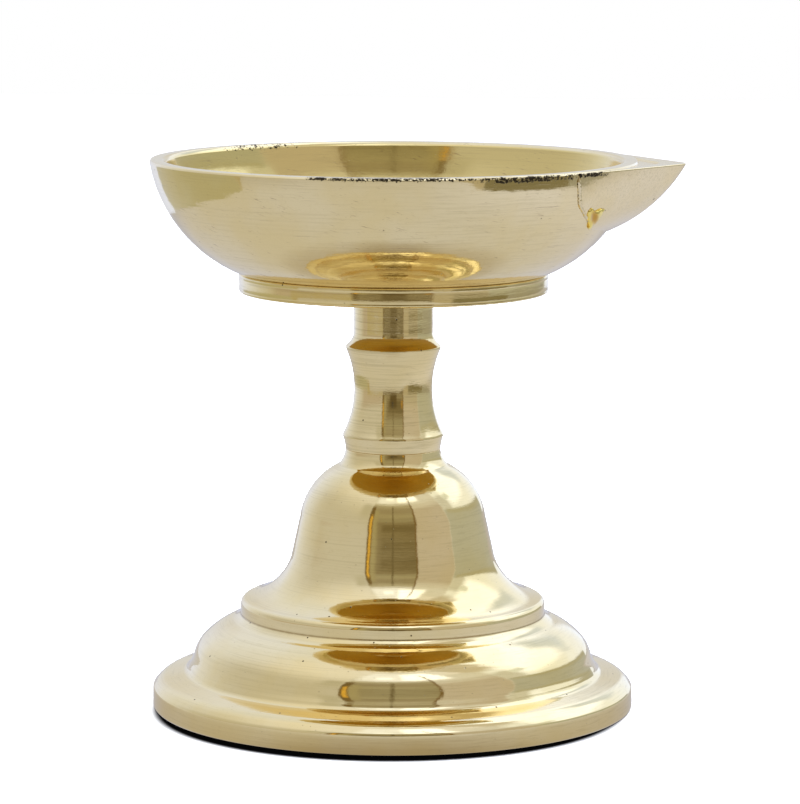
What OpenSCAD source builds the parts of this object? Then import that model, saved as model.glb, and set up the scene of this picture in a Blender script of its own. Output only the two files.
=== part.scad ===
// Diya oil lamp: an open oil bowl with a wick spout, screwed to a turned brass stand.
// The lamp's axis is Z, the table is z = 0 and the spout points along +X. Millimetres.

/* [Base] */
// Diameter of the plinth that rests on the table
base_d = 100; // [97:0.5:103]
// Height of the plinth's upright edge
plinth_h = 4; // [3.5:0.25:4.5]
// Widest diameter of the rounded tier above the plinth
tier_d = 82.6; // [81:0.2:84]
// Diameter of the bell's upright rim
bell_rim_d = 63.4; // [62:0.2:64]
// Diameter of the bell where its shoulder begins
bell_d = 38.5; // [37:0.25:40]
// Height of the joint between the base and the stem
joint_h = 53.9; // [53.5:0.1:55]
// Height of the flat ceiling inside the base, which the washer bears on
ceiling_h = 46.2; // [45:0.2:47]

/* [Stem] */
// Length of the stem, from the base joint to the bowl's foot
stem_len = 32.8; // [31:0.2:36]
// Diameter of the plain column at the top of the stem
stem_d = 16.4; // [15.5:0.1:17]
// Diameter of the neck, at the joint between the base and the stem
neck_d = 19.8; // [19:0.1:20.2]
// Diameter of the lower bead
low_bead_d = 20.8; // [20.4:0.1:21.6]
// Diameter of the upper bead
high_bead_d = 19.8; // [19:0.1:20.6]
// How far the waist between the beads is drawn in
waist_draw = 1.95; // [1.2:0.05:2.4]

/* [Bowl] */
// Diameter of the foot disc under the bowl
foot_d = 63.8; // [62:0.2:64]
// Thickness of the foot disc
foot_h = 3.9; // [3.5:0.1:5]
// Diameter of the bowl's rim
rim_d = 100.4; // [99.6:0.2:102]
// Height of the bowl, from the foot disc to the crest of the rim
bowl_h = 23.4; // [22:0.2:25]
// How far the bowl's outside swells beyond a straight cone
bowl_swell = 3.75; // [3:0.05:4]
// Width of the rim, from its outer edge to its inner edge
rim_w = 3.5; // [3.2:0.1:4]
// Thickness of metal under the oil, outside the stud's pocket
floor_t = 3.2; // [3:0.1:4]

/* [Spout] */
// Distance from the lamp's axis to the spout's tip
spout_reach = 60; // [59:0.2:61]
// How far the spout reaches down the bowl, below the rim
spout_drop = 15; // [14:0.25:16]
// How far the spout's underside swells beyond a straight keel
keel_swell = 2.1; // [1.8:0.1:2.5]
// How far the spout's side stands proud of the bowl at the seam
seam_step = 0.45; // [0.35:0.05:0.6]
// Depth of the shallow wick rest in the spout's top
wick_rest_deep = 0.5; // [0.3:0.1:0.8]

/* [Fastening] */
// Outer diameter of the tie rod's thread
rod_d = 8; // [7:0.5:8]
// Radial running clearance of the foot disc on the tie rod
thread_play = 0.05; // [0.02:0.01:0.1]
// Length of rod that stands above the stem
stud_len = 5; // [4.8:0.1:5]
// Width across the flats of the clamp nut
nut_af = 13; // [12:0.5:14]
// Thickness of the clamp nut
nut_h = 6.5; // [5:0.5:7]
// Outer diameter of the clamp washer
washer_d = 16; // [15:0.5:18]
// Thickness of the clamp washer
washer_t = 1.6; // [1.2:0.1:2]

/* [Hidden] */
$fn = 96;

foot_z = joint_h + stem_len;
bowl_z = foot_z + foot_h;
rim_z = bowl_z + bowl_h;
rod_r = rod_d / 2;
rim_r = rim_d / 2;
rim_round = 0.4;
edge_z = rim_z - rim_round;
cut = 1;

// Points along a circular arc from p towards q, q left out. The arc stands bulge off its chord,
// to the right of the way it runs when bulge is positive.
function bow(p, q, bulge, n = 12) =
    let (
        along = q - p,
        chord = norm(along),
        side = [along.y, -along.x] / chord,
        r = (chord * chord / 4 + bulge * bulge) / (2 * bulge),
        centre = (p + q) / 2 + side * (bulge - r),
        start = atan2(p.y - centre.y, p.x - centre.x),
        turn = atan2(q.y - centre.y, q.x - centre.x) - start,
        sweep = turn > 180 ? turn - 360 : turn < -180 ? turn + 360 : turn
    )
    [for (i = [0 : n - 1]) centre + abs(r) * [cos(start + sweep * i / n), sin(start + sweep * i / n)]];

// Outer corners of the base, from the table up. Each is a radius and a height.
plinth_edge = [base_d / 2, plinth_h];
plinth_top = plinth_edge + [-0.9, 0.95];
cove_low = [tier_d / 2 + 3.9, plinth_h + 3];
tier_edge = [tier_d / 2, plinth_h + 7];
tier_top = [bell_rim_d / 2 + 1.8, plinth_h + 14];
bell_foot = [bell_rim_d / 2, plinth_h + 15.5];
bell_edge = [bell_rim_d / 2, plinth_h + 17.3];
bell_lip = [bell_rim_d / 2 - 1, plinth_h + 18.65];
bell_low = [bell_d / 2 + 2, plinth_h + 27];
bell_high = [bell_d / 2, joint_h - 13.9];
shoulder_top = [neck_d / 2 + 1.4, joint_h - 3.3];
neck_top = [neck_d / 2, joint_h];

// Corners of the hollow inside the base, from the table up
hollow_edge = [base_d / 2 - 3.6, plinth_h - 2.4];
hollow_low = [tier_d / 2 - 3, plinth_h + 3.6];
hollow_tier = [tier_d / 2 - 3.1, plinth_h + 7];
hollow_step = [bell_rim_d / 2 - 3.1, plinth_h + 13.8];
hollow_bell = [bell_rim_d / 2 - 3.1, plinth_h + 15.6];
hollow_low_wall = [bell_d / 2 - 0.95, plinth_h + 27];
hollow_high_wall = [bell_d / 2 - 2.95, joint_h - 13.9];
hollow_top = [12.4, ceiling_h];

module base_outline() {
    polygon(concat(
        [[0, 0], [plinth_edge.x - 0.4, 0], [plinth_edge.x, 0.4]],
        bow(plinth_edge, plinth_top, 0.25, 4),
        bow(plinth_top, cove_low, 0.1, 4),
        bow(cove_low, tier_edge, -0.6, 8),
        bow(tier_edge, tier_top, 1.1, 12),
        bow(tier_top, bell_foot, -0.15, 4),
        [bell_foot],
        bow(bell_edge, bell_lip, 0.3, 5),
        bow(bell_lip, bell_low, -1.7, 14),
        [bell_low],
        bow(bell_high, shoulder_top, 1.64, 14),
        bow(shoulder_top, neck_top, -0.35, 6),
        [neck_top, [0, neck_top.y]]
    ));
}

module base_hollow() {
    polygon(concat(
        [[0, -cut], [hollow_edge.x, -cut]],
        bow(hollow_edge, hollow_low, -0.8, 6),
        [hollow_low],
        bow(hollow_tier, hollow_step, 1, 8),
        [hollow_step],
        bow(hollow_bell, hollow_low_wall, -1.9, 10),
        [hollow_low_wall],
        bow(hollow_high_wall, hollow_top, 0.9, 8),
        [hollow_top, [0, ceiling_h]]
    ));
}

// Cast and turned base: plinth, tier and bell in one hollow casting, with a hole through its crown
module bell_base() {
    color("#d9c47f")
    difference() {
        rotate_extrude() base_outline();
        rotate_extrude() base_hollow();
        translate([0, 0, ceiling_h - cut]) cylinder(r = rod_r + 0.25, h = joint_h - ceiling_h + 2 * cut);
    }
}

// Turned baluster: a clearance bore below, tapped for the tie rod in its top third
module stem() {
    low_bead = [low_bead_d / 2, joint_h + 2.6];
    low_bead_top = [low_bead_d / 2 - 0.2, joint_h + 3.5];
    high_bead = [high_bead_d / 2, foot_z - 11.7];
    high_bead_top = [high_bead_d / 2 - 0.25, foot_z - 11.2];
    column = [stem_d / 2, foot_z - 8.8];
    tapped_len = 12;
    color("#dcc888")
    difference() {
        rotate_extrude() polygon(concat(
            [[0, joint_h]],
            bow(neck_top, low_bead, -0.1, 4),
            bow(low_bead, low_bead_top, 0.12, 3),
            bow(low_bead_top, high_bead, -waist_draw, 20),
            bow(high_bead, high_bead_top, 0.1, 3),
            bow(high_bead_top, column, -0.25, 6),
            [column, [stem_d / 2, foot_z], [0, foot_z]]
        ));
        translate([0, 0, joint_h - cut]) cylinder(r = rod_r, h = stem_len + 2 * cut);
        translate([0, 0, joint_h - cut]) cylinder(r = rod_r + 0.4, h = stem_len - tapped_len + cut);
    }
}

// Rod that holds the stand together: screwed into the stem, nutted inside the base,
// and standing above the stem as the stud that the bowl screws on to
module tie_rod() {
    low = ceiling_h - washer_t - nut_h - 1.5;
    high = foot_z + stud_len;
    lead = 0.8;
    color("#a8aaad")
    rotate_extrude() polygon([
        [0, low], [rod_r - lead, low], [rod_r, low + lead],
        [rod_r, high - lead], [rod_r - lead, high], [0, high]
    ]);
}

module clamp_washer() {
    color("#b4b6b9")
    difference() {
        translate([0, 0, ceiling_h - washer_t]) cylinder(d = washer_d, h = washer_t);
        translate([0, 0, ceiling_h - washer_t - cut]) cylinder(r = rod_r + 0.2, h = washer_t + 2 * cut);
    }
}

module clamp_nut() {
    low = ceiling_h - washer_t - nut_h;
    color("#b4b6b9")
    difference() {
        intersection() {
            translate([0, 0, low]) cylinder(d = nut_af / cos(30), h = nut_h, $fn = 6);
            // chamfer that takes the corners off the lower face
            translate([0, 0, low]) rotate_extrude() polygon([
                [0, 0], [nut_af * 0.48, 0], [nut_af * 0.6, 0.9], [nut_af * 0.6, nut_h], [0, nut_h]
            ]);
        }
        translate([0, 0, low - cut]) cylinder(r = rod_r, h = nut_h + 2 * cut);
    }
}

// Turned disc under the bowl, tapped through for the stud
module bowl_foot() {
    bevel = 0.25;
    r = foot_d / 2;
    color("#cdb878")
    difference() {
        rotate_extrude() polygon([
            [0, foot_z], [r - bevel, foot_z], [r, foot_z + bevel],
            [r, bowl_z - bevel], [r - bevel, bowl_z], [0, bowl_z]
        ]);
        translate([0, 0, foot_z - cut]) cylinder(r = rod_r + thread_play, h = foot_h + 2 * cut);
    }
}

// Outside of the bowl: its corners, and the arc from the foot up to the rim's outer edge
bowl_low = [foot_d / 2 + 0.3, bowl_z + 0.15];
bowl_edge = [rim_r, edge_z];
bowl_side = concat(bow(bowl_low, bowl_edge, bowl_swell, 20), [bowl_edge]);

// Outer radius of the bowl at a height
function bowl_r(z) = lookup(z, [for (p = bowl_side) [p.y, p.x]]);

module bowl_solid() {
    rotate_extrude() polygon(concat(
        [[0, bowl_z], [foot_d / 2 - 0.5, bowl_z]],
        bowl_side,
        bow(bowl_edge, [rim_r - 0.9, rim_z], 0.12, 4),
        [[rim_r - 0.9, rim_z], [0, rim_z]]
    ));
}

// Spun bowl for the oil. Its underside has a blind pocket that clears the stud's end.
module oil_bowl() {
    inner_edge = [rim_r - rim_w, rim_z - 0.8];
    floor_edge = [foot_d / 2, bowl_z + floor_t + 0.5];
    pocket_play = 0.2;
    color("#dfcb8d")
    difference() {
        bowl_solid();
        rotate_extrude() polygon(concat(
            [[0, bowl_z + floor_t], [foot_d / 2 - 8, bowl_z + floor_t]],
            bow([foot_d / 2 - 8, bowl_z + floor_t], floor_edge, 0.12, 4),
            bow(floor_edge, inner_edge, 2.9, 18),
            bow(inner_edge, [rim_r - 2.6, rim_z], -0.08, 3),
            [[rim_r - 2.6, rim_z], [rim_r - 2.6, rim_z + cut], [0, rim_z + cut]]
        ));
        translate([0, 0, bowl_z - cut])
            cylinder(r = rod_r + pocket_play, h = foot_z + stud_len + pocket_play - bowl_z + cut);
    }
}

// The spout's sides run off the rim at a tangent
tangent_x = rim_r * rim_r / spout_reach;
keel_low = [tangent_x + 0.4, edge_z - spout_drop];
keel_tip = [spout_reach, edge_z];
keel = concat(bow(keel_low, keel_tip, keel_swell, 14), [keel_tip]);
nose_share = 0.1;

// The seam lies at the tangent point at the foot of the spout, and a little behind it above
function seam_x(z) =
    let (over = (z - keel_low.y - 4) / 4)
    tangent_x - 1.5 * min(1, max(0, over));

// Half the spout's width at the seam. It tucks inside the bowl's wall at its lowest levels.
function seam_y(z) =
    let (over = (z - keel_low.y - 1) / 2)
    sqrt(bowl_r(z) * bowl_r(z) - seam_x(z) * seam_x(z)) + min(seam_step, over - 0.6);

// One level of the spout: two straight sides that meet in a small rounded nose at x = reach
function spout_level(reach, z, steps = 6) =
    let (
        corner = [seam_x(z), -seam_y(z)],
        nose = [(reach - nose_share / 2 * corner.x) / (1 - nose_share / 2), 0],
        near = nose + nose_share * (corner - nose),
        far = [near.x, -near.y],
        round_nose = [for (i = [0 : steps]) let (t = i / steps)
            near * (1 - t) * (1 - t) + nose * 2 * t * (1 - t) + far * t * t]
    )
    [for (p = concat([corner], round_nose, [[corner.x, -corner.y]])) [p.x, p.y, z]];

module spout_block() {
    levels = [for (k = keel) spout_level(k.x, k.y)];
    rings = len(levels);
    n = len(levels[0]);
    polyhedron(
        points = [for (level = levels) each level],
        faces = concat(
            [[for (i = [0 : n - 1]) i]],
            [for (j = [0 : rings - 2], i = [0 : n - 1]) each [
                [j * n + i, (j + 1) * n + i, j * n + (i + 1) % n],
                [(j + 1) * n + i, (j + 1) * n + (i + 1) % n, j * n + (i + 1) % n]
            ]],
            [[for (i = [n - 1 : -1 : 0]) (rings - 1) * n + i]]
        ),
        convexity = 4
    );
}

// Cast spout, fitted round the bowl's wall and brazed to it. A shallow rest in its top holds the wick.
module wick_spout() {
    lip = 1.4;
    tip_gap = 5;
    rest_x = seam_x(edge_z);
    rest_y = (spout_reach - tip_gap - rest_x) * rim_r / sqrt(spout_reach * spout_reach - rim_r * rim_r);
    color("#d6c28a")
    difference() {
        spout_block();
        bowl_solid();
        translate([0, 0, edge_z - wick_rest_deep]) linear_extrude(height = wick_rest_deep + cut)
            polygon([
                [rest_x, rest_y + lip],
                [rest_x, -rest_y - lip],
                [spout_reach - tip_gap, -lip],
                [spout_reach - tip_gap, lip]
            ]);
    }
}

// Braze filler: a fillet up each side of the seam, and a bead of spilt filler beside the near one
fillet_r = 0.45;
fillet_sides = 6;
fillet_low = edge_z - spout_drop + 3.2;
fillet_high = edge_z - 0.6;
bead_r = 2.6;
bead_sunk = 1.8;
bead_z = edge_z - 9.4;
bead_along = 4.2;

// One fillet, as a thin tube up the seam that tapers away at its ends
module seam_fillet(side, steps = 8) {
    n = fillet_sides;
    polyhedron(
        points = [for (i = [0 : steps]) let (
                z = fillet_low + (fillet_high - fillet_low) * i / steps,
                r = i == 0 || i == steps ? fillet_r / 3 : fillet_r
            )
            for (k = [0 : n - 1])
                [seam_x(z) + r * cos(360 * k / n), side * seam_y(z) + r * sin(360 * k / n), z]],
        faces = concat(
            [[for (k = [0 : n - 1]) k]],
            [for (j = [0 : steps - 1], k = [0 : n - 1]) each [
                [j * n + k, (j + 1) * n + k, j * n + (k + 1) % n],
                [(j + 1) * n + k, (j + 1) * n + (k + 1) % n, j * n + (k + 1) % n]
            ]],
            [[for (k = [n - 1 : -1 : 0]) steps * n + k]]
        )
    );
}

module spout_braze() {
    corner = [seam_x(bead_z), -seam_y(bead_z)];
    reach = lookup(bead_z, [for (k = keel) [k.y, k.x]]);
    run = ([reach, 0] - corner) / norm([reach, 0] - corner);
    bead = corner + bead_along * run - bead_sunk * [run.y, -run.x];
    color("#d8a520") {
        seam_fillet(1);
        seam_fillet(-1);
        translate([bead.x, bead.y, bead_z]) sphere(r = bead_r);
    }
}

bell_base();
stem();
tie_rod();
clamp_washer();
clamp_nut();
bowl_foot();
oil_bowl();
wick_spout();
spout_braze();
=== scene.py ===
import math

import bmesh
import bpy
import numpy as np
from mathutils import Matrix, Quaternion, Vector


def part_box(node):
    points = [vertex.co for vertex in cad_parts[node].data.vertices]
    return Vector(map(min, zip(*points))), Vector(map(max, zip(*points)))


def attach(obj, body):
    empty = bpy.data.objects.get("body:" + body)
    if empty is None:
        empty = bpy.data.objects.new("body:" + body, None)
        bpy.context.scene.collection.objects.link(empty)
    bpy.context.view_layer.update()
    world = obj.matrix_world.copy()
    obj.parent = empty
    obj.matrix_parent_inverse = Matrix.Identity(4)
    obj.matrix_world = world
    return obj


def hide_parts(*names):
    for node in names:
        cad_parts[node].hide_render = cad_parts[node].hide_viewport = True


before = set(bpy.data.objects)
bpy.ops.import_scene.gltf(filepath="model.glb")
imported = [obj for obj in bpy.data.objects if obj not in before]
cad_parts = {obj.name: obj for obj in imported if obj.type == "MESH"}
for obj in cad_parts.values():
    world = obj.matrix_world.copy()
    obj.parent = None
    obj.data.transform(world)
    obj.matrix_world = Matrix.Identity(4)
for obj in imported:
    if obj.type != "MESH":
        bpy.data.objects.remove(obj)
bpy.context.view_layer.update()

# Diya oil lamp. Polished brass shows every facet, so each piece is turned, lofted or threaded here
# as a dense smooth mesh that stands for its CAD node. Outlines are in millimetres, meshes in metres.
MM = 0.001

# ---------------------------------------------------------------- places that the CAD frame gives
base_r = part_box("bell_base")[1].x / MM
joint_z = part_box("bell_base")[1].z / MM
foot_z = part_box("bowl_foot")[0].z / MM
bowl_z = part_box("bowl_foot")[1].z / MM
foot_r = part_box("bowl_foot")[1].x / MM
rim_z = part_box("oil_bowl")[1].z / MM
rim_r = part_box("oil_bowl")[1].y / MM
spout_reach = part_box("wick_spout")[1].x / MM
spout_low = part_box("wick_spout")[0].z / MM
edge_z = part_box("wick_spout")[1].z / MM
rod_low, rod_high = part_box("tie_rod")[0].z / MM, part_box("tie_rod")[1].z / MM
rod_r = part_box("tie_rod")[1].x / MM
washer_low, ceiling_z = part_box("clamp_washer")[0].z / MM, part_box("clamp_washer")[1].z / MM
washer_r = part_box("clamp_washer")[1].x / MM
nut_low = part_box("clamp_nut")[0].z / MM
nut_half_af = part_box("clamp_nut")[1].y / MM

# The side of the lamp that the photo shows is turned this many degrees from -Y
photo_side = 6.5


# ---------------------------------------------------------------- outlines
def bow(p, q, bulge, n=24):
    """Points along an arc from p, left out, to q. It stands bulge off its chord, to the right of its run."""
    p, q = np.array(p, float), np.array(q, float)
    along = q - p
    chord = math.hypot(*along)
    side = np.array([along[1], -along[0]]) / chord
    r = (chord * chord / 4 + bulge * bulge) / (2 * bulge)
    centre = (p + q) / 2 + side * (bulge - r)
    start = math.atan2(p[1] - centre[1], p[0] - centre[0])
    turn = math.atan2(q[1] - centre[1], q[0] - centre[0]) - start
    turn = (turn + math.pi) % (2 * math.pi) - math.pi
    at = start + turn * np.arange(1, n + 1) / n
    return centre + abs(r) * np.stack([np.cos(at), np.sin(at)], 1)


def path(*corners):
    """An outline through corners (radius, height). A third number bends the stretch up to that corner."""
    made = [np.array([corners[0][:2]], float)]
    for a, b in zip(corners, corners[1:]):
        made.append(bow(a[:2], b[:2], b[2]) if len(b) > 2 else np.array([b[:2]], float))
    return np.concatenate(made)


def spread(values, sigma, closed):
    """values along an outline, blurred by a bell curve of sigma steps."""
    reach = max(1, int(3 * sigma))
    weights = np.exp(-0.5 * (np.arange(-reach, reach + 1) / sigma) ** 2)
    weights /= weights.sum()
    if closed:
        padded = np.concatenate([values[-reach:], values, values[:reach]])
    else:
        head = 2 * values[0] - values[reach:0:-1]
        tail = 2 * values[-1] - values[-2:-reach - 2:-1]
        padded = np.concatenate([head, values, tail])
    return np.stack([np.convolve(padded[:, i], weights, "valid") for i in range(values.shape[1])], 1)


def smoothed(points, soften, longest, closed=True, sharpest=3.0, fine=0.03):
    """The outline with its corners rounded over about soften mm. Returns the points and their hollowness:
    1 in a sharp inward crease, -1 on a sharp outward edge. Steps are shorter where it bends."""
    ring = np.concatenate([points, points[:1]]) if closed else points
    length = np.concatenate([[0], np.cumsum(np.hypot(*np.diff(ring, axis=0).T))])
    count = int(length[-1] / fine)
    at = np.linspace(0, length[-1], count, endpoint=not closed)
    step = at[1]
    dense = np.stack([np.interp(at, length, ring[:, i]) for i in (0, 1)], 1)
    dense = spread(dense, soften / step, closed)
    ahead = np.roll(dense, -1, 0) - dense
    if not closed:
        ahead[-1] = ahead[-2]
    heading = np.unwrap(np.arctan2(ahead[:, 1], ahead[:, 0]))
    turn = np.diff(heading, prepend=heading[0])
    bend = spread(turn[:, None] / step, 0.25 / step, closed)[:, 0]
    hollow = np.clip(-bend / 1.6, -1, 1)
    keep, turned_by, gone = [0], 0.0, 0.0
    for i in range(1, count):
        turned_by += abs(turn[i])
        gone += step
        limit = longest(dense[i]) if callable(longest) else longest
        if turned_by > math.radians(sharpest) or gone > limit:
            keep.append(i)
            turned_by, gone = 0.0, 0.0
    if not closed and keep[-1] != count - 1:
        keep.append(count - 1)
    return dense[keep], hollow[keep]


# ---------------------------------------------------------------- meshes
def new_bmesh(points, faces):
    """A bmesh made of points and faces."""
    bm = bmesh.new()
    for p in points:
        bm.verts.new(p)
    bm.verts.ensure_lookup_table()
    for f in faces:
        bm.faces.new([bm.verts[i] for i in f])
    return bm


def lists_of(bm):
    """The points and faces of bm, which is freed."""
    bm.verts.index_update()
    points = [tuple(v.co) for v in bm.verts]
    faces = [[v.index for v in f.verts] for f in bm.faces]
    bm.free()
    return points, faces


def new_piece(name, points, faces, body, slot, node, marks=None):
    """A mesh piece that rides on its body and stands for a CAD node. slot is not used."""
    mesh = bpy.data.meshes.new(name)
    mesh.from_pydata((np.asarray(points) * MM).tolist(), [], faces)
    mesh.update()
    mesh.polygons.foreach_set("use_smooth", [True] * len(mesh.polygons))
    for key, values in (marks or {}).items():
        layer = mesh.attributes.new(key, "FLOAT", "POINT")
        layer.data.foreach_set("value", np.asarray(values, np.float32))
    piece = bpy.data.objects.new(name, mesh)
    bpy.context.scene.collection.objects.link(piece)
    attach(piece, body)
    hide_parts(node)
    return piece


def turned(name, outline, body, slot, node, inside=None, closed=True, segments=256, wave=0.0, seed=0.0,
           grime=None):
    """A turned piece from (points, hollowness). wave is the height in mm of a slow hand-turned unevenness,
    inside says which outline points belong to the rough inner face, and grime where dirt has gathered."""
    profile, hollow = outline
    n = len(profile)
    angle = np.arange(segments)[:, None] * 2 * math.pi / segments
    r, z = profile[None, :, 0], profile[None, :, 1]
    lobes = np.sin(3 * angle + seed + 0.21 * z) + 0.6 * np.sin(7 * angle - 1.7 * seed - 0.13 * z)
    lobes = lobes + 0.5 * np.sin(11 * angle + 0.37 * z + 2.3 * seed) + 0.8 * np.sin(2.1 * z + 1.1 * r + seed)
    radius = r + wave * (lobes - 2.9) * np.clip(r / 8, 0, 1)
    points = np.stack([radius * np.cos(angle), radius * np.sin(angle), np.repeat(z, segments, 0)], 2)
    marks = {"hollow": np.repeat(hollow[None], segments, 0)}
    if inside is not None:
        marks["inner_skin"] = np.repeat(inside(profile)[None].astype(float), segments, 0)
    if grime is not None:
        marks["grime"] = grime(angle, r, z)
    marks = {k: v.reshape(-1) for k, v in marks.items()}
    points = points.reshape(-1, 3)
    grid = np.arange(segments * n).reshape(segments, n)
    after = np.roll(grid, -1, 0)
    if closed:
        left, right = grid, after
        left_up, right_up = np.roll(grid, -1, 1), np.roll(after, -1, 1)
        faces = np.stack([left, right, right_up, left_up], 2).reshape(-1, 4).tolist()
    else:
        # the outline starts and ends on the axis, so its end rings close to a point
        inner = slice(1, n - 1)
        left, right = grid[:, 1:n - 2], after[:, 1:n - 2]
        left_up, right_up = grid[:, 2:n - 1], after[:, 2:n - 1]
        faces = np.stack([left, right, right_up, left_up], 2).reshape(-1, 4).tolist()
        renumber = np.full(segments * n + 2, -1)
        renumber[grid[:, inner].reshape(-1)] = np.arange(segments * (n - 2))
        low, high = segments * (n - 2), segments * (n - 2) + 1
        faces = [[int(renumber[v]) for v in f] for f in faces]
        for s in range(segments):
            t = (s + 1) % segments
            faces.append([low, int(renumber[grid[t, 1]]), int(renumber[grid[s, 1]])])
            faces.append([high, int(renumber[grid[s, n - 2]]), int(renumber[grid[t, n - 2]])])
        kept = grid[:, inner].reshape(-1)
        points = np.concatenate([points[kept], [[0, 0, profile[0, 1]], [0, 0, profile[-1, 1]]]])
        ends = [0, n - 1]
        marks = {k: np.concatenate([v[kept], v.reshape(segments, n)[0, ends]]) for k, v in marks.items()}
    return new_piece(name, points, faces, body, slot, node, marks)


# ---------------------------------------------------------------- the stand
base_outside = path(
    # the plinth's edge, its lip and the nearly flat step above it
    (base_r - 3, 0), (base_r - 0.4, 0), (base_r, 0.4), (base_r, 4), (base_r - 0.45, 4.75, 0.08),
    (47.5, 6.25, 0.2), (43.6, 7.25),
    # the rounded tier and the bell's rim
    (42.45, 8.5, -0.2), (41.5, 10.6, -0.1), (41.15, 11.7), (38.8, 14.9, 0.28),
    (33.5, 18, 0.32), (31.7, 19.5, -0.15), (31.7, 21.3), (30.7, 22.65, 0.3),
    # the bell and its neck
    (21.25, 31, -1.7), (19.25, joint_z - 13.9), (11.3, joint_z - 3.3, 1.64), (9.9, joint_z, -0.35),
)
base_outline = np.concatenate([base_outside, path(
    (rod_r + 0.25, joint_z), (rod_r + 0.25, ceiling_z), (12.4, ceiling_z), (16.3, joint_z - 13.9, -0.9),
    (18.3, 31), (28.6, 19.6, 1.9), (28.6, 17.8), (38.2, 11, -1), (38.3, 7.6), (46.4, 1.6, 0.8), (46.4, 0),
)])


def in_base_hollow(p):
    """1 on the inner face of the base, 0 on its outside."""
    return p[:, 0] < np.interp(p[:, 1], base_outside[:, 1], base_outside[:, 0]) - 1.6


def base_step(p):
    """Steps are coarser on the hidden inner face."""
    return 1.2 if in_base_hollow(p[None])[0] else 0.55


bell_base = turned(
    "bell_base_casting", smoothed(base_outline, 0.11, base_step, sharpest=6), "pedestal", "base_brass",
    "bell_base", inside=in_base_hollow, wave=0.006, seed=1.3,
)

stem_outline = path(
    (rod_r + 1.5, joint_z), (9.9, joint_z), (10.4, joint_z + 2.6, -0.1), (10.2, joint_z + 3.5, 0.12),
    (9.9, foot_z - 11.7, -1.95), (9.65, foot_z - 11.2, 0.1), (8.2, foot_z - 8.8, -0.25), (8.2, foot_z),
    (rod_r, foot_z), (rod_r, foot_z - 12), (rod_r + 0.4, foot_z - 12), (rod_r + 0.4, joint_z),
)
stem = turned(
    "stem_baluster", smoothed(stem_outline, 0.09, 0.45, sharpest=6), "pedestal", "stem_brass", "stem",
    inside=lambda p: p[:, 0] < rod_r + 0.7, segments=192, wave=0.003, seed=0.4,
)

# ---------------------------------------------------------------- the fastening
pitch, thread_depth = 1.25, 0.61


def threaded_rod():
    """A single-start metric thread: a sheared grid that follows the helix, cut square at both ends."""
    around, per_turn = 72, 16
    rise = pitch / per_turn
    levels = int((rod_high - rod_low) / rise) + 2 * per_turn + 4
    start = rod_low - pitch - 2 * rise
    root = rod_r - thread_depth
    points = []
    for k in range(levels):
        # the flanks of a 60 degree thread, flat on the crest and round in the root
        phase = (k % per_turn) / per_turn
        near = abs(phase - 0.5) * 2
        share = min(1.0, max(0.0, (near - 0.14) / 0.66))
        r = root + (rod_r - root) * (share ** 0.9)
        for j in range(around):
            z = start + k * rise + pitch * j / around
            a = 2 * math.pi * j / around
            # it tapers past its ends, where it is cut off
            tapered = min(r, rod_r + min(z - rod_low, rod_high - z))
            points.append((tapered * math.cos(a), tapered * math.sin(a), z))
    faces = []
    for k in range(levels - 1):
        for j in range(around - 1):
            a = k * around + j
            faces.append((a, a + 1, a + around + 1, a + around))
        if k + 1 + per_turn < levels:
            a = k * around + around - 1
            b = (k + per_turn) * around
            faces.append((a, b, b + around, a + around))
    bm = new_bmesh(points, faces)
    for z, way in ((rod_low, -1), (rod_high, 1)):
        geom = bm.verts[:] + bm.edges[:] + bm.faces[:]
        bmesh.ops.bisect_plane(bm, geom=geom, plane_co=(0, 0, z), plane_no=(0, 0, way), clear_outer=True)
        rim = [e for e in bm.edges if e.is_boundary and all(abs(v.co.z - z) < 1e-4 for v in e.verts)]
        bmesh.ops.edgeloop_fill(bm, edges=rim)
    bmesh.ops.recalc_face_normals(bm, faces=bm.faces[:])
    rod = new_piece("tie_rod_threaded", *lists_of(bm), "pedestal", "plated_steel", "tie_rod")
    rod.data.set_sharp_from_angle(angle=math.radians(50))
    return rod


def clamp_nut():
    """A hexagon nut. A cone chamfers both ends and leaves arcs on the flats. The bore is countersunk."""
    segments = 180
    high = washer_low
    chamfer_r = 0.96 * nut_half_af
    points = []
    for s in range(segments):
        a = 2 * math.pi * s / segments
        flat = (a - math.pi / 6) % (math.pi / 3) - math.pi / 6
        hexagon = nut_half_af / math.cos(abs(flat))
        over = max(0.0, hexagon - chamfer_r) * 0.577
        ring = [
            (rod_r, nut_low + 0.5), (rod_r + 0.45, nut_low), (chamfer_r, nut_low),
            (hexagon, nut_low + over), (hexagon, (nut_low + high) / 2), (hexagon, high - over),
            (chamfer_r, high), (rod_r + 0.45, high), (rod_r, high - 0.5),
        ]
        points += [(r * math.cos(a), r * math.sin(a), z) for r, z in ring]
    n = len(ring)
    grid = np.arange(segments * n).reshape(segments, n)
    after = np.roll(grid, -1, 0)
    faces = np.stack([grid, after, np.roll(after, -1, 1), np.roll(grid, -1, 1)], 2).reshape(-1, 4).tolist()
    nut = new_piece("clamp_nut_hex", points, faces, "pedestal", "plated_steel", "clamp_nut")
    nut.data.set_sharp_from_angle(angle=math.radians(25))
    return nut


rod = threaded_rod()
nut = clamp_nut()
washer_outline = path(
    (5, washer_low), (washer_r, washer_low), (washer_r, ceiling_z), (rod_r + 0.2, ceiling_z),
    (rod_r + 0.2, washer_low),
)
washer = turned(
    "clamp_washer_ring", smoothed(washer_outline, 0.1, 1.0, sharpest=10), "pedestal", "plated_steel",
    "clamp_washer", segments=128,
)

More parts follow.
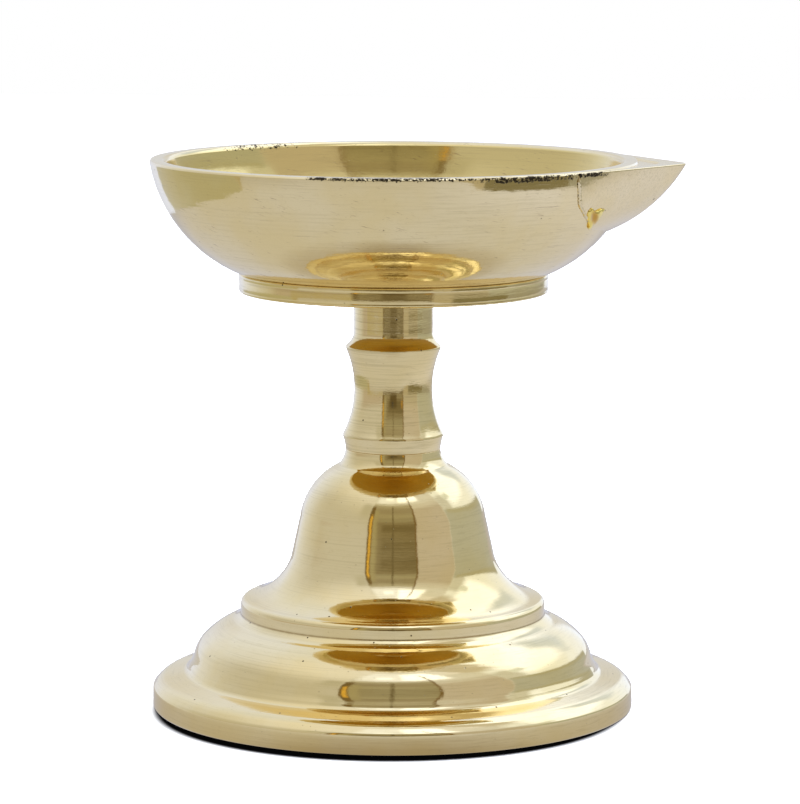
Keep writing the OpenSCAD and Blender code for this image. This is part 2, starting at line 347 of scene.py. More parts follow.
# ---------------------------------------------------------------- the foot disc and the bowl
groove_r = foot_r - 0.06
foot_outline = path(
    (rod_r + 1, foot_z), (foot_r - 0.25, foot_z), (foot_r, foot_z + 0.25),
    (foot_r, foot_z + 0.62), (groove_r, foot_z + 0.7), (foot_r, foot_z + 0.78),
    (foot_r, bowl_z - 1.0), (groove_r, bowl_z - 0.92), (foot_r, bowl_z - 0.84),
    (foot_r, bowl_z - 0.25), (foot_r - 0.25, bowl_z), (rod_r + 0.05, bowl_z), (rod_r + 0.05, foot_z),
)
foot = turned(
    "bowl_foot_disc", smoothed(foot_outline, 0.05, 0.9, sharpest=8), "foot", "foot_brass", "bowl_foot",
    inside=lambda p: (p[:, 0] < foot_r - 0.3) & (p[:, 1] < foot_z + 0.1), segments=288, wave=0.003, seed=2.2,
)

bowl_side = path((foot_r + 0.3, bowl_z + 0.15), (rim_r, edge_z, 3.75))
floor_z = bowl_z + 3.2
bowl_outline = np.concatenate([
    path((0, bowl_z + 1.3), (rod_r + 0.2, bowl_z + 1.3), (rod_r + 0.2, bowl_z), (foot_r - 0.5, bowl_z)),
    bowl_side,
    path((rim_r, edge_z), (rim_r - 0.12, rim_z - 0.3), (rim_r - 0.5, rim_z, 0.1), (rim_r - 2.6, rim_z),
         (rim_r - 3.5, rim_z - 0.8, 0.08), (foot_r, floor_z + 0.5, -2.9), (foot_r - 8, floor_z, -0.12),
         (0, floor_z))[1:],
])


def bowl_r(z):
    """Outer radius of the bowl at a height."""
    return float(np.interp(z, bowl_side[:, 1], bowl_side[:, 0]))


def in_bowl(p):
    """1 on the bowl's inner face, 0 on its outside."""
    outer = np.interp(p[:, 1], bowl_side[:, 1], bowl_side[:, 0])
    return (p[:, 0] < outer - 1.9) & (p[:, 1] > bowl_z + 2.2) & (p[:, 1] < rim_z - 0.5)


def window(value, low, high, soft):
    """1 from low to high, easing to 0 over soft."""
    return np.clip((value - low) / soft + 1, 0, 1) * np.clip((high - value) / soft + 1, 0, 1)


def rim_grime(angle, r, z):
    """Dirt along the rim's front edge, more of it beside the spout, and specks on the far inner edge."""
    bearing = np.degrees((angle + math.pi / 2 + math.pi) % (2 * math.pi) - math.pi) - photo_side
    outside = r > rim_r - 1.6
    under = window(z, edge_z - 0.1, rim_z - 0.2, 0.25) * window(bearing, -16, 44, 8) * 0.6
    thick = window(z, edge_z - 0.75, edge_z + 0.05, 0.6) * window(bearing, 24, 42, 8) * 0.64
    edge = window(z, rim_z - 0.45, rim_z - 0.05, 0.2) * window(bearing, -18, 12, 5) * 0.66
    inner = window(z, rim_z - 0.9, rim_z + 0.1, 0.4) * window(bearing, -152, -132, 8) * 0.44
    outer_dirt = np.maximum(np.maximum(under, thick), edge)
    return np.where(outside, outer_dirt, inner)


bowl = turned(
    "oil_bowl_spun", smoothed(bowl_outline, 0.08, 0.5, closed=False, sharpest=6), "bowl", "bowl_brass",
    "oil_bowl", inside=in_bowl, closed=False, segments=320, wave=0.008, seed=3.1, grime=rim_grime,
)

# ---------------------------------------------------------------- the spout
tangent_x = rim_r * rim_r / spout_reach
keel = path((tangent_x + 0.4, spout_low), (spout_reach, edge_z, 2.1))
spout_top = edge_z + 0.2


def seam_x(z):
    """The seam lies where the spout's sides touch the bowl, and a little behind that higher up."""
    return tangent_x - 1.5 * min(1, max(0, (z - spout_low - 4) / 4))


def seam_y(z):
    """Half the spout's width at the seam. It tucks inside the bowl's wall at its lowest levels."""
    proud = min(0.45, (z - spout_low - 1) / 2 - 0.6)
    return math.sqrt(bowl_r(min(z, edge_z)) ** 2 - seam_x(z) ** 2) + proud


back_steps = 40


def spout_loop(reach, z, inset=0.0, side_steps=26, nose_steps=12):
    """One level of the spout as a closed loop: out along one side from the seam, round the nose, back
    along the other side and then across inside the bowl's wall. The loop shrinks by inset."""
    corner = np.array([seam_x(z), seam_y(z)])
    nose = np.array([(reach - 0.05 * corner[0]) / 0.95, 0.0])
    along = nose - corner
    along /= np.linalg.norm(along)
    inward = np.array([along[1], -along[0]]) * inset
    corner, nose = corner + inward, nose - [inset / max(0.3, abs(along[1])), 0]
    # the sides end a tenth short of the nose, and a curve rounds it off
    short = nose + 0.1 * (corner - nose)
    share = np.linspace(0, 1, side_steps)[:, None]
    side = corner + (short - corner) * share
    t = np.linspace(0, 1, nose_steps + 2)[1:-1, None]
    flip = np.array([1, -1])
    tip = short * (1 - t) ** 2 + nose * 2 * t * (1 - t) + short * flip * t ** 2
    inner = bowl_r(min(z, edge_z)) - 1.3 - inset
    reach_angle = math.atan2(corner[1], corner[0])
    a = np.linspace(-reach_angle, reach_angle, back_steps)
    back = inner * np.stack([np.cos(a), np.sin(a)], 1)
    loop = np.concatenate([side, tip, side[::-1] * flip, back])
    return np.concatenate([loop, np.full((len(loop), 1), z)], 1)


def wick_spout():
    """The spout lofted up its keel, with rounded lips and the shallow rest sunk into its top."""
    heights = np.concatenate([
        np.linspace(keel[0, 1], keel[-1, 1] - 0.5, 44), np.linspace(keel[-1, 1] - 0.3, keel[-1, 1], 3),
    ])
    loops = [spout_loop(float(np.interp(z, keel[:, 1], keel[:, 0])), z) for z in heights]
    lip_r = 0.22
    for a in np.radians([20, 40, 60, 75, 90]):
        z = spout_top - lip_r * (1 - math.sin(a))
        loops.append(spout_loop(spout_reach, z, inset=lip_r * (1 - math.cos(a))))
    rest_deep, lip = 0.32, 1.1
    for inset, drop in ((0.55, 0), (lip - 0.08, 0), (lip, 0.06), (lip + 0.12, rest_deep - 0.08),
                        (lip + 0.2, rest_deep), (lip + 0.6, rest_deep + 0.02)):
        loops.append(spout_loop(spout_reach, spout_top, inset=inset) - [0, 0, drop])
    n = len(loops[0])
    # the rest ends short of the tip
    sides = n - back_steps
    for loop in loops[-4:]:
        loop[:sides, 0] = tangent_x + (loop[:sides, 0] - tangent_x) * 0.76
    points = np.concatenate(loops)
    faces = []
    for k in range(len(loops) - 1):
        for i in range(n):
            j = (i + 1) % n
            faces.append((k * n + i, k * n + j, (k + 1) * n + j, (k + 1) * n + i))
    faces.append(tuple(range(n - 1, -1, -1)))
    faces.append(tuple((len(loops) - 1) * n + i for i in range(n)))
    bm = new_bmesh(points, faces)
    bmesh.ops.triangulate(bm, faces=[f for f in bm.faces if len(f.verts) > 4])
    bmesh.ops.recalc_face_normals(bm, faces=bm.faces[:])
    points, faces = lists_of(bm)
    x, y, z = np.array(points).T
    lip_dirt = window(z, edge_z - 0.55, edge_z + 0.05, 0.5) * 0.7
    lip_dirt = lip_dirt * window(x, tangent_x - 2, tangent_x + 2.2, 2.5)
    foot_dirt = window(z, spout_low, spout_low + 0.3, 0.5) * 0.45
    marks = {"grime": np.maximum(lip_dirt * (y < 0), foot_dirt)}
    spout = new_piece("wick_spout_cast", points, faces, "bowl", "spout_brass", "wick_spout", marks)
    spout.data.set_sharp_from_angle(angle=math.radians(50))
    return spout


spout = wick_spout()


def near_flank(x, z):
    """The y of the spout's near side at a place x along it and a height z."""
    reach = float(np.interp(z, keel[:, 1], keel[:, 0]))
    nose = (reach - 0.05 * seam_x(z)) / 0.95
    return -seam_y(z) * (nose - x) / (nose - seam_x(z))


def seam_braze():
    """Filler brazed up both sides of the seam, and a bead that ran off the near side."""
    bm = bmesh.new()
    layers = {key: bm.verts.layers.float.new(key) for key in ("hollow", "bead", "grime")}
    low, high = spout_low + 2.6, edge_z - 0.35
    steps, around = 110, 16
    rng = np.random.default_rng(7)

    def skin(rings):
        """Faces between the rings, and over both ends."""
        for lower, upper in zip(rings, rings[1:]):
            for j in range(len(lower)):
                i = (j + 1) % len(lower)
                bm.faces.new((lower[j], lower[i], upper[i], upper[j]))
        bm.faces.new(rings[0][::-1])
        bm.faces.new(rings[-1])

    for side in (1, -1):
        lumps = np.convolve(rng.normal(0, 1, steps + 8), np.ones(5) / 5, "same")[4:-4]
        sway = np.convolve(rng.normal(0, 1, steps + 16), np.ones(9) / 9, "same")[8:-8]
        broken = rng.random(steps + 2)[:steps] > 0.4
        rings = []
        for k in range(steps):
            share = k / (steps - 1)
            z = low + (high - low) * share
            swell = min(1, 8 * share + 0.2, 8 * (1 - share) + 0.2) * (1 + 0.22 * lumps[k])
            middle = np.array([seam_x(z), side * seam_y(z)])
            out = middle / np.linalg.norm(middle)
            along = np.array([-out[1], out[0]])
            middle = middle - 0.26 * out + (0.12 * side + 0.06 * sway[k]) * along
            ring = []
            for j in range(around):
                a = 2 * math.pi * j / around
                at = middle + along * swell * 0.5 * math.cos(a) + out * swell * 0.4 * math.sin(a)
                vert = bm.verts.new((at[0], at[1], z))
                # dirt lies where the filler's edges meet the wall, and thins out in broken stretches
                near_edge = max(0.0, 1 - 1.7 * abs(math.sin(a)))
                vert[layers["grime"]] = near_edge * (0.35 + 0.5 * broken[k])
                ring.append(vert)
            rings.append(ring)
        skin(rings)

    # the bead: two lobes above and a point below, with a dimple left of its middle
    corners = np.array([(-2.9, 0.6), (-1.3, 2.5), (-0.2, 1.3), (1.7, 1.9), (3.3, 1.7), (0.7, -0.9),
                        (-2.7, -2.8), (-2.3, -1.2)])
    length = np.concatenate([[0], np.cumsum(np.hypot(*np.diff(corners, axis=0, append=corners[:1]).T))])
    at = np.linspace(0, length[-1], 120, endpoint=False)
    ring = np.concatenate([corners, corners[:1]])
    outline = spread(np.stack([np.interp(at, length, ring[:, i]) for i in (0, 1)], 1), 3.0, True)
    outline = outline + 0.12 * spread(rng.normal(0, 1, outline.shape), 1.5, True)
    hub, z_mid = np.array([-0.8, 0.2]), edge_z - 9.4
    # seen from above, a step along the near flank is (run_x, off_x), and one straight off it (off_x, -run_x)
    run_x, off_x = 0.55, 0.835
    rings = []
    for share, sunk in [(0.9, 0.5), (1.0, 0.15)] + [(q, None) for q in np.linspace(1, 0.04, 22)]:
        ring = []
        for u, v in hub + (outline - hub) * share:
            if sunk is None:
                dome = 0.62 * (1 - share ** 2.2) ** 0.45
                dome -= 0.3 * math.exp(-((u + 1.3) ** 2 + 0.35 * (v + 0.1) ** 2) / 0.5)
                dome += 0.05 * math.sin(2.6 * u + 1.9 * v) * (1 - share)
            else:
                dome = -sunk
            x = tangent_x - 0.6 + run_x * (2.7 + u)
            y = near_flank(x, z_mid + v)
            vert = bm.verts.new((x + off_x * dome, y - run_x * dome, z_mid + v))
            # the bead's mark drops towards the dimple, where the material browns it as painted shade
            vert[layers["bead"]] = 1 - 0.75 * math.exp(-((u + 0.9) ** 2 + 0.5 * (v - 0.1) ** 2) / 1.6)
            vert[layers["hollow"]] = 0.5 * (dome < 0.05)
            ring.append(vert)
        rings.append(ring)
    skin(rings)
    bmesh.ops.recalc_face_normals(bm, faces=bm.faces[:])
    marks = {key: [v[layer] for v in bm.verts] for key, layer in layers.items()}
    return new_piece("spout_braze_filler", *lists_of(bm), "bowl", "braze", "spout_braze", marks)


braze = seam_braze()


# ---------------------------------------------------------------- materials
class Nodes:
    """Short calls that build a node tree."""

    def __init__(self, tree):
        self.tree = tree

    def put(self, kind, inputs=(), **settings):
        """A new node. inputs go by socket: a socket is linked to it, and anything else is its value."""
        node = self.tree.nodes.new(kind)
        for key, value in settings.items():
            setattr(node, key, value)
        for key, value in dict(inputs).items():
            if isinstance(value, bpy.types.NodeSocket):
                self.tree.links.new(value, node.inputs[key])
            else:
                node.inputs[key].default_value = value
        return node

    def math(self, operation, a, b=0.0, clamp=False):
        return self.put("ShaderNodeMath", {0: a, 1: b}, operation=operation, use_clamp=clamp).outputs[0]

    def share_of(self, a, b):
        """a times b, kept from 0 to 1."""
        return self.math("MULTIPLY", a, b, clamp=True)

    def ramp(self, value, low, high, to_low=0.0, to_high=1.0):
        """value eased from low to high."""
        ends = {"Value": value, "From Min": low, "From Max": high, "To Min": to_low, "To Max": to_high}
        return self.put("ShaderNodeMapRange", ends, interpolation_type="SMOOTHSTEP").outputs[0]

    def mix(self, share, a, b):
        """Colour a, turning into b as share goes to 1."""
        # the colour sockets of a Mix node are numbers 6 and 7, and its colour output is number 2
        full = {k: (*v, 1) if isinstance(v, tuple) else v for k, v in ((6, a), (7, b))}
        return self.put("ShaderNodeMix", {0: share, **full}, data_type="RGBA").outputs[2]

    def noise(self, vector, scale, detail=2.0, rough=0.5):
        """Noise from 0 to 1 at vector."""
        told = {"Vector": vector, "Scale": scale, "Detail": detail, "Roughness": rough}
        return self.put("ShaderNodeTexNoise", told).outputs["Fac"]

    def vector(self, x, y, z):
        """A vector of three values."""
        return self.put("ShaderNodeCombineXYZ", {0: x, 1: y, 2: z}).outputs[0]

    def attribute(self, name):
        """A value that the mesh holds at its points, or 0 where it has none of that name."""
        return self.put("ShaderNodeAttribute", attribute_name=name).outputs["Fac"]

    def bump(self, height, distance, normal=None):
        """A normal tilted by height, on top of an earlier one."""
        told = {"Height": height, "Distance": distance, "Strength": 1.0}
        if normal is not None:
            told["Normal"] = normal
        return self.put("ShaderNodeBump", told).outputs[0]

    def picked(self, cell, channel, above):
        """1 in the cells of a Voronoi texture whose random colour is above a level."""
        colour = self.put("ShaderNodeSeparateColor", {0: cell.outputs["Color"]})
        return self.math("GREATER_THAN", colour.outputs[channel], above)

    def dot(self, vector, way):
        """How far vector reaches along a fixed direction."""
        told = {0: vector, 1: tuple(way)}
        return self.put("ShaderNodeVectorMath", told, operation="DOT_PRODUCT").outputs["Value"]

    def length(self, vector):
        """The length of vector."""
        return self.put("ShaderNodeVectorMath", {0: vector}, operation="LENGTH").outputs["Value"]


def new_material(name):
    """A material, its Nodes and its shader."""
    material = bpy.data.materials.new(name)
    material.use_nodes = True
    shader = material.node_tree.nodes["Principled BSDF"]
    return material, Nodes(material.node_tree), shader


def brass(name, tint, rough=0.1, lathe=1.0, wave=1.0, pits=1.0, scratch=0.5, round_work=True,
          inner_rough=0.3, inner_tint=(0.93, 0.86, 0.6), bead_tints_and_shade=None):
    """Polished metal: slow colour changes, lathe lines, casting pits, hairlines, and brown in the creases.
    lathe, wave, pits and scratch say how strong those are. inner_rough and inner_tint are for the inner
    skin, and the last argument has the colours of the filler's bead, brown in its middle as painted shade.
    Coordinates are scaled to millimetres, and the distances of the bumps are in metres."""
    material, n, shader = new_material(name)
    where = n.put("ShaderNodeTexCoord").outputs["Object"]
    mm = n.put("ShaderNodeVectorMath", {0: where, "Scale": 1000.0}, operation="SCALE").outputs[0]
    part = n.put("ShaderNodeSeparateXYZ", {0: mm})
    x, y, z = part.outputs
    r = n.math("SQRT", n.math("ADD", n.math("MULTIPLY", x, x), n.math("MULTIPLY", y, y)))
    drift = n.math("MULTIPLY", n.math("ADD", x, n.math("MULTIPLY", y, 1.7)), 0.035)
    ring = n.vector(r, z, drift) if round_work else mm

    cloud = n.noise(mm, 0.06, 3.0)
    mottle = n.noise(mm, 0.9, 4.0, 0.6)
    lines = n.noise(ring, 2.0, 4.0, 0.65)
    grit = n.noise(mm, 2.6, 3.0, 0.6)
    coarse_lines = n.noise(ring, 0.7, 2.0, 0.5)
    swell = n.noise(mm, 0.16, 2.0, 0.4)
    ripple = n.noise(mm, 0.5, 2.0, 0.45)

    # casting pits: a few of the cells hold a small deep hole
    cell = n.put("ShaderNodeTexVoronoi", {"Vector": mm, "Scale": 0.26, "Randomness": 1.0})
    hole = n.math("MULTIPLY", n.ramp(cell.outputs["Distance"], 0.062, 0.034), n.picked(cell, 0, 0.35))
    speck = n.put("ShaderNodeTexVoronoi", {"Vector": mm, "Scale": 0.8, "Randomness": 1.0})
    dot = n.math("MULTIPLY", n.ramp(speck.outputs["Distance"], 0.09, 0.045), n.picked(speck, 1, 0.6))
    holes = n.share_of(n.math("MAXIMUM", hole, n.math("MULTIPLY", dot, 0.6)), pits)

    # turning marks that tremble sideways, and hairlines round the piece that a slow noise breaks up
    turned_by = n.math("ARCTAN2", y, x)
    tremble_at = n.vector(
        n.math("MULTIPLY", turned_by, 9.0), n.math("MULTIPLY", z, 3.4), n.math("MULTIPLY", r, 3.4),
    )
    tremble = n.noise(tremble_at if round_work else mm, 1.0, 3.0, 0.6)
    hair_at = n.vector(
        n.math("MULTIPLY", turned_by, 2.2), n.math("MULTIPLY", z, 3.0), n.math("MULTIPLY", r, 3.0),
    )
    hair = n.ramp(n.noise(hair_at, 1.4, 4.0, 0.7), 0.62, 0.72)
    hair = n.math("MULTIPLY", hair, n.ramp(n.noise(mm, 0.12, 2.0), 0.4, 0.6))

    # patches of slanting scratches
    slant = n.math("ADD", n.math("MULTIPLY", x, 0.9), n.math("MULTIPLY", z, 3.2))
    scuff_at = n.vector(slant, n.math("MULTIPLY", n.math("SUBTRACT", x, z), 0.22), n.math("MULTIPLY", y, 0.3))
    scuff = n.ramp(n.noise(scuff_at, 1.2, 4.0, 0.7), 0.6, 0.7)
    scuff = n.math("MULTIPLY", scuff, n.ramp(swell, 0.47, 0.58))
    hair = n.share_of(n.math("MAXIMUM", hair, scuff), scratch)

    # brown in the creases, and dirt with a ragged edge where the grime mark is high
    crease_brown = n.share_of(n.ramp(n.attribute("hollow"), 0.3, 0.85), n.ramp(mottle, 0.3, 0.6, 0.8, 1.0))
    grime = n.attribute("grime")
    ragged = n.math("ADD", grime, n.math("MULTIPLY", n.math("SUBTRACT", mottle, 0.5), 1.3))
    ragged = n.math("ADD", ragged, n.math("MULTIPLY", n.math("SUBTRACT", grit, 0.5), 1.5))
    dirt = n.math("MULTIPLY", n.ramp(ragged, 0.46, 0.66), n.ramp(grime, 0.04, 0.2))

    inner_skin = n.attribute("inner_skin")
    pale = tuple(min(1.0, c * k) for c, k in zip(tint, (1.01, 1.02, 1.08)))
    warm = tuple(c * k for c, k in zip(tint, (0.98, 0.955, 0.88)))
    colour = n.mix(n.ramp(cloud, 0.35, 0.65), warm, pale)
    colour = n.mix(n.ramp(mottle, 0.5, 0.8, 0.0, 0.25), colour, tuple(c * 0.86 for c in warm))
    colour = n.mix(inner_skin, colour, tuple(c * k for c, k in zip(tint, inner_tint)))
    streaks = n.math("MULTIPLY", n.ramp(lines, 0.47, 0.66), n.ramp(cloud, 0.3, 0.6, 0.25, 1.0))
    colour = n.mix(n.math("MULTIPLY", streaks, 0.26 * lathe), colour, tuple(c * 0.6 for c in warm))
    if bead_tints_and_shade:
        # the filler's bead in its own yellow, browning towards its middle as painted shade
        bead = n.attribute("bead")
        bead_colour_and_shade = n.mix(n.ramp(bead, 0.3, 0.95), *bead_tints_and_shade)
        colour = n.mix(n.ramp(bead, 0.05, 0.15), colour, bead_colour_and_shade)
    colour = n.mix(n.math("MULTIPLY", hair, 0.6), colour, (0.4, 0.28, 0.15))
    colour = n.mix(n.math("MULTIPLY", crease_brown, 0.85), colour, (0.24, 0.135, 0.035))
    colour = n.mix(n.math("MULTIPLY", dirt, 0.97), colour, (0.03, 0.02, 0.01))
    colour = n.mix(n.math("MULTIPLY", holes, 0.97), colour, (0.03, 0.018, 0.008))
    roughness = n.ramp(mottle, 0.3, 0.75, rough - 0.015, rough + 0.03)
    for share, more in ((crease_brown, 0.3), (holes, 0.45), (dirt, 0.5), (inner_skin, inner_rough)):
        roughness = n.math("ADD", roughness, n.math("MULTIPLY", share, more))

    normal = n.bump(swell, 2.2e-5 * wave)
    for height, distance in (
        (ripple, 1.1e-5 * wave), (coarse_lines, 9.0e-6 * lathe), (lines, 5.0e-6 * lathe),
        (tremble, 6.0e-6 * lathe), (hair, -2.0e-6), (holes, -2.0e-5),
    ):
        normal = n.bump(height, distance, normal)
    n.tree.links.new(colour, shader.inputs["Base Color"])
    n.tree.links.new(roughness, shader.inputs["Roughness"])
    n.tree.links.new(normal, shader.inputs["Normal"])
    shader.inputs["Metallic"].default_value = 1.0
    return material


BRASS = (0.89, 0.715, 0.345)
materials = {
    "base": brass("brass_base", BRASS, rough=0.05, inner_rough=0.35, lathe=0.8, scratch=0.3),
    "stem": brass("brass_stem", BRASS, rough=0.06, lathe=1.6, wave=0.5),
    "foot": brass("brass_foot", (0.88, 0.70, 0.32), rough=0.08, lathe=1.6, wave=0.5, inner_rough=0.25,
                  inner_tint=(0.6, 0.43, 0.11)),
    "bowl": brass("brass_bowl", (0.89, 0.72, 0.36), rough=0.06, lathe=0.7, wave=1.7, scratch=1.3, pits=0.6,
                  inner_rough=0.07, inner_tint=(0.94, 0.9, 0.7)),
    "spout": brass("brass_spout", (0.89, 0.72, 0.37), rough=0.12, wave=1.2, round_work=False),
    "braze": brass("brass_filler", (0.89, 0.73, 0.40), rough=0.1, wave=1.0, pits=0.3, round_work=False,
                   bead_tints_and_shade=((0.62, 0.33, 0.03), (1.0, 0.78, 0.2))),
    "steel": brass("plated_steel", (0.62, 0.63, 0.64), rough=0.24, pits=0.3, scratch=0.4),
}
for piece, kind in ((bell_base, "base"), (stem, "stem"), (foot, "foot"), (bowl, "bowl"), (spout, "spout"),
                    (braze, "braze"), (rod, "steel"), (nut, "steel"), (washer, "steel")):
    piece.data.materials.append(materials[kind])

# ---------------------------------------------------------------- camera
azimuth, pitch_down, roll = math.radians(photo_side), math.radians(7.93), 0.0029
ahead = Vector((math.sin(azimuth), -math.cos(azimuth), 0))
right = Vector((math.cos(azimuth), math.sin(azimuth), 0))
back = ahead * math.cos(pitch_down) + Vector((0, 0, math.sin(pitch_down)))
camera = bpy.data.objects.new("camera", bpy.data.cameras.new("camera"))
bpy.context.scene.collection.objects.link(camera)
camera.data.lens = 179.4
camera.data.sensor_width = 36
looked_at, distance, sideways_shift = Vector((0, 0, 0.0635)), 0.8301, 0.00141
camera.location = looked_at + back * distance + right * sideways_shift
camera.rotation_mode = "QUATERNION"
camera.rotation_quaternion = (-back).to_track_quat("-Z", "Y") @ Quaternion((0, 0, 1), roll)
bpy.context.scene.camera = camera
bpy.context.scene.view_settings.view_transform = "Standard"

# ---------------------------------------------------------------- the studio round the lamp
# The surroundings are painted by direction: degrees round from the camera's side, to its right, and
# degrees above the horizon. Polished brass takes its whole look from them.
world = bpy.data.worlds.new("studio")
bpy.context.scene.world = world
world.use_nodes = True
w = Nodes(world.node_tree)
way = w.put("ShaderNodeTexCoord").outputs["Generated"]
degrees = 180 / math.pi
turn = w.math("MULTIPLY", w.math("ARCTAN2", w.dot(way, right), w.dot(way, ahead)), degrees)
rise = w.math("MULTIPLY", w.math("ARCSINE", w.dot(way, (0, 0, 1))), degrees)
around = w.math("ABSOLUTE", turn)


def panel(left, right_end, low, high, soft=1.0, soft_rise=None, lean=0.0):
    """1 inside a window of directions. lean lowers its top and bottom, in degrees for each degree turned."""
    soft_rise = soft if soft_rise is None else soft_rise
    level = w.math("ADD", rise, w.math("MULTIPLY", turn, lean)) if lean else rise
    past_left = w.ramp(turn, left - soft, left + soft)
    before_right = w.ramp(turn, right_end + soft, right_end - soft)
    above_low = w.ramp(level, low - soft_rise, low + soft_rise)
    below_high = w.ramp(level, high + soft_rise, high - soft_rise)
    across = w.math("MULTIPLY", past_left, before_right)
    return w.math("MULTIPLY", across, w.math("MULTIPLY", above_low, below_high))


# brighter overhead and towards the back, and less blue at the back's horizon
light = w.mix(w.ramp(rise, 22, 68), (0.61, 0.635, 0.72), (0.90, 0.96, 1.2))
light = w.mix(w.ramp(around, 96, 156), light, (0.84, 0.95, 1.35))
light = w.mix(w.math("MULTIPLY", w.ramp(around, 152, 176), w.ramp(rise, 36, 12)), light, (0.72, 0.745, 0.80))
for share, colour in (
    # dimmer towards the horizon on both sides
    (panel(-100, -31, -14, 5, 8.0, 4.0), (0.52, 0.49, 0.5)),
    (panel(-46, -31, 26, 46, 5.0, 5.0), (0.56, 0.58, 0.62)),
    # the wall on the right, the bright window beyond it and the dim screen that stands across that
    (panel(28, 77, -14, 58, 1.0, 4.0), (0.57, 0.555, 0.59)),
    (panel(28, 77, -14, 4, 1.0, 4.0), (0.5, 0.49, 0.48)),
    (panel(28, 77, 40, 60, 3.0, 5.0), (0.70, 0.73, 0.85)),
    (panel(76, 168, -6, 95, 2.0, 2.0), (1.02, 1.16, 1.55)),
    (panel(96, 168, 28, 68, 6.0, 5.0), (1.4, 1.6, 2.3)),
    (panel(145, 161, 22, 40, 5.0, 4.0), (0.76, 0.9, 1.26)),
    (panel(75, 91, 24, 48, 3.0, 4.0), (0.70, 0.76, 0.9)),
    (panel(90, 103, 38, 45, 2.5, 2.0), (0.85, 0.98, 1.2)),
    (panel(74, 110, 57, 95, 4.0, 5.0), (0.66, 0.66, 0.7)),
    (panel(75.5, 152, -60, 51, 0.8, 1.0, lean=0.3), (0.50, 0.545, 0.60)),
    (panel(79, 150, 47, 51.5, 1.5, 2.0, lean=0.3), (0.48, 0.5, 0.47)),
    # the lamp overhead
    (panel(-33, 78, 48, 62, 3.0, 3.0), (0.78, 0.84, 1.03)),
    (panel(-28, 48, 52, 77, 5.0, 3.0), (1.05, 1.17, 1.6)),
    (panel(9, 46, 54, 75, 3.0, 3.0), (1.6, 1.8, 2.5)),
    (panel(-13, 1, 58, 64, 3.0, 3.0), (1.4, 1.6, 2.2)),
    # the dark opening that the camera looks out of
    (panel(-31, 29, -14, 49, 0.7, 3.0), (0.48, 0.47, 0.43)),
    (panel(-31, 28.5, -14, 43, 0.7, 5.0), (0.35, 0.325, 0.26)),
    (panel(-20, 28.5, 26, 33, 3.0, 3.0), (0.40, 0.385, 0.31)),
    (panel(-20, 28.5, 20, 27, 3.0, 2.0), (0.345, 0.33, 0.26)),
    (panel(-29, 28.5, -3, 20, 0.7, 2.5), (0.28, 0.25, 0.18)),
    (panel(-27, -20, -3, 38, 3.0, 6.0), (0.41, 0.39, 0.28)),
    (panel(-14, 28.5, 0, 15, 3.0, 2.0), (0.2, 0.17, 0.105)),
    (panel(-9, 10, -6, 9, 3.0, 2.0), (0.13, 0.10, 0.05)),
    (panel(-4, 2, 3, 8, 1.0, 1.0), (0.06, 0.06, 0.07)),
    (panel(-0.8, 0.9, 4, 46, 0.4, 3.0), (0.17, 0.145, 0.09)),
    (panel(-31.5, -26, -8, 44, 0.3, 3.0), (0.2, 0.15, 0.07)),
    (panel(-29.5, -27, 3, 30, 0.3, 2.0), (0.78, 0.5, 0.1)),
    (panel(23, 27.5, 2, 8, 1.0, 1.0), (0.5, 0.3, 0.06)),
    (panel(27.5, 29.5, -6, 70, 0.4, 2.0), (0.2, 0.14, 0.06)),
    # the floor of the room, past the board
    (panel(-152, -82, -60, -9, 0.8, 0.8), (0.49, 0.50, 0.43)),
    (panel(-82, -30, -60, -5, 1.0, 1.0), (0.49, 0.46, 0.35)),
    (panel(-30, 29, -60, -6, 1.0, 1.0), (0.20, 0.175, 0.125)),
    (panel(29, 45, -60, -6, 1.0, 1.0), (0.49, 0.46, 0.4)),
    (panel(45, 95, -60, -7, 1.0, 1.0), (0.24, 0.225, 0.155)),
    (panel(95, 150, -60, -6, 1.5, 1.0), (0.37, 0.385, 0.40)),
):
    light = w.mix(share, light, colour)
# the floor turns paler towards the left rear
pale_end = w.math("MULTIPLY", panel(-152, -92, -60, -9, 1.5, 1.0), w.ramp(turn, -112, -150))
light = w.mix(pale_end, light, (0.56, 0.58, 0.58))
seen = w.put("ShaderNodeLightPath").outputs["Is Camera Ray"]
sky = world.node_tree.nodes["Background"]
w.tree.links.new(w.mix(seen, light, (1.0, 1.0, 1.0)), sky.inputs["Color"])


def flat_stage(name, outline, z, material):
    """A flat stage card through outline, a list of places in mm."""
    mesh = bpy.data.meshes.new(name)
    mesh.from_pydata([(px * MM, py * MM, z * MM) for px, py in outline], [], [tuple(range(len(outline)))])
    card = bpy.data.objects.new(name, mesh)
    bpy.context.scene.collection.objects.link(card)
    mesh.materials.append(material)
    return card


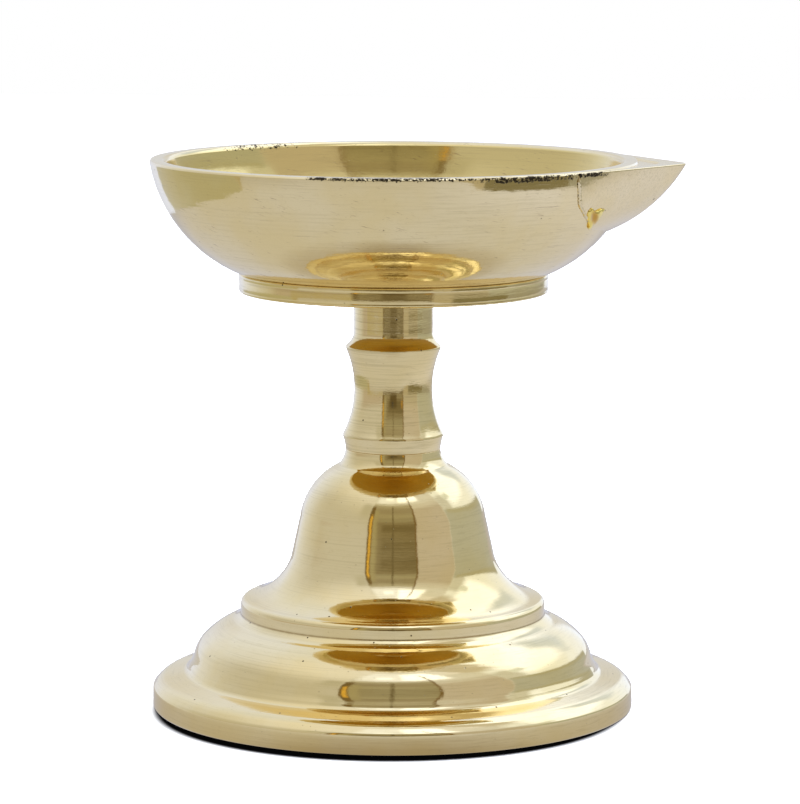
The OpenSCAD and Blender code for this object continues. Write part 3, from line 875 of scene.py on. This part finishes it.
# The table that the camera sees: white, with a black shadow that shows along the front of the base
table_look, n, shader = new_material("white_table")
place = n.put("ShaderNodeTexCoord").outputs["Object"]
shadow_middle = ahead * 0.0062 - right * 0.0008
from_shadow = n.put("ShaderNodeVectorMath", {0: place, 1: tuple(-shadow_middle)}, operation="ADD").outputs[0]
shade = n.mix(n.ramp(n.length(from_shadow), 0.0475, 0.0503), (0.001, 0.001, 0.001), (0.95, 0.95, 0.95))
n.tree.links.new(shade, shader.inputs["Base Color"])
shader.inputs["Roughness"].default_value = 1.0
shader.inputs["Specular IOR Level"].default_value = 0.0
half = 2000
table = flat_stage("table", [(-half, -half), (half, -half), (half, half), (-half, half)], 0, table_look)
table.visible_glossy = False

# The glowing board that only the brass sees, in place of the table: painted shade close round the lamp, and
# darker far off
board_look, n, shader = new_material("board")
glow = n.put("ShaderNodeEmission", {"Strength": 1.0})
place = n.put("ShaderNodeTexCoord").outputs["Object"]
reach = n.length(place)
sideways = n.dot(place, right)
tone = n.mix(n.ramp(sideways, 0.03, 0.25), (0.63, 0.66, 0.80), (0.73, 0.78, 1.05))
tone = n.mix(n.ramp(reach, 0.22, 0.4), tone, (0.54, 0.55, 0.63))
# painted shade on the board round the lamp's foot, darkest straight ahead of it and behind it
aside = n.math("ABSOLUTE", sideways)
shade_round_lamp = n.mix(n.ramp(aside, 0.01, 0.04), (0.39, 0.36, 0.34), (0.52, 0.515, 0.56))
n.tree.links.new(n.mix(n.ramp(reach, 0.05, 0.08), shade_round_lamp, tone), glow.inputs["Color"])
output = board_look.node_tree.nodes["Material Output"]
n.tree.links.new(glow.outputs[0], output.inputs["Surface"])
board = flat_stage("board", [
    (-225, 700), (-225, -95), (-430, -190), (-430, -430), (195, -430), (178, -180), (305, 20), (330, 700),
], 0.02, board_look)
# only reflections see the board
for flag in ("visible_camera", "visible_diffuse", "visible_shadow", "visible_transmission"):
    setattr(board, flag, False)

# A broad soft lamp overhead, which the brass doesn't reflect
lamp_data = bpy.data.lights.new("overhead", "AREA")
lamp_data.shape, lamp_data.size, lamp_data.energy = "DISK", 1.6, 60
lamp = bpy.data.objects.new("overhead", lamp_data)
lamp.location = (0, 0.1, 1.5)
bpy.context.scene.collection.objects.link(lamp)
lamp.visible_glossy = False
lamp.visible_camera = False
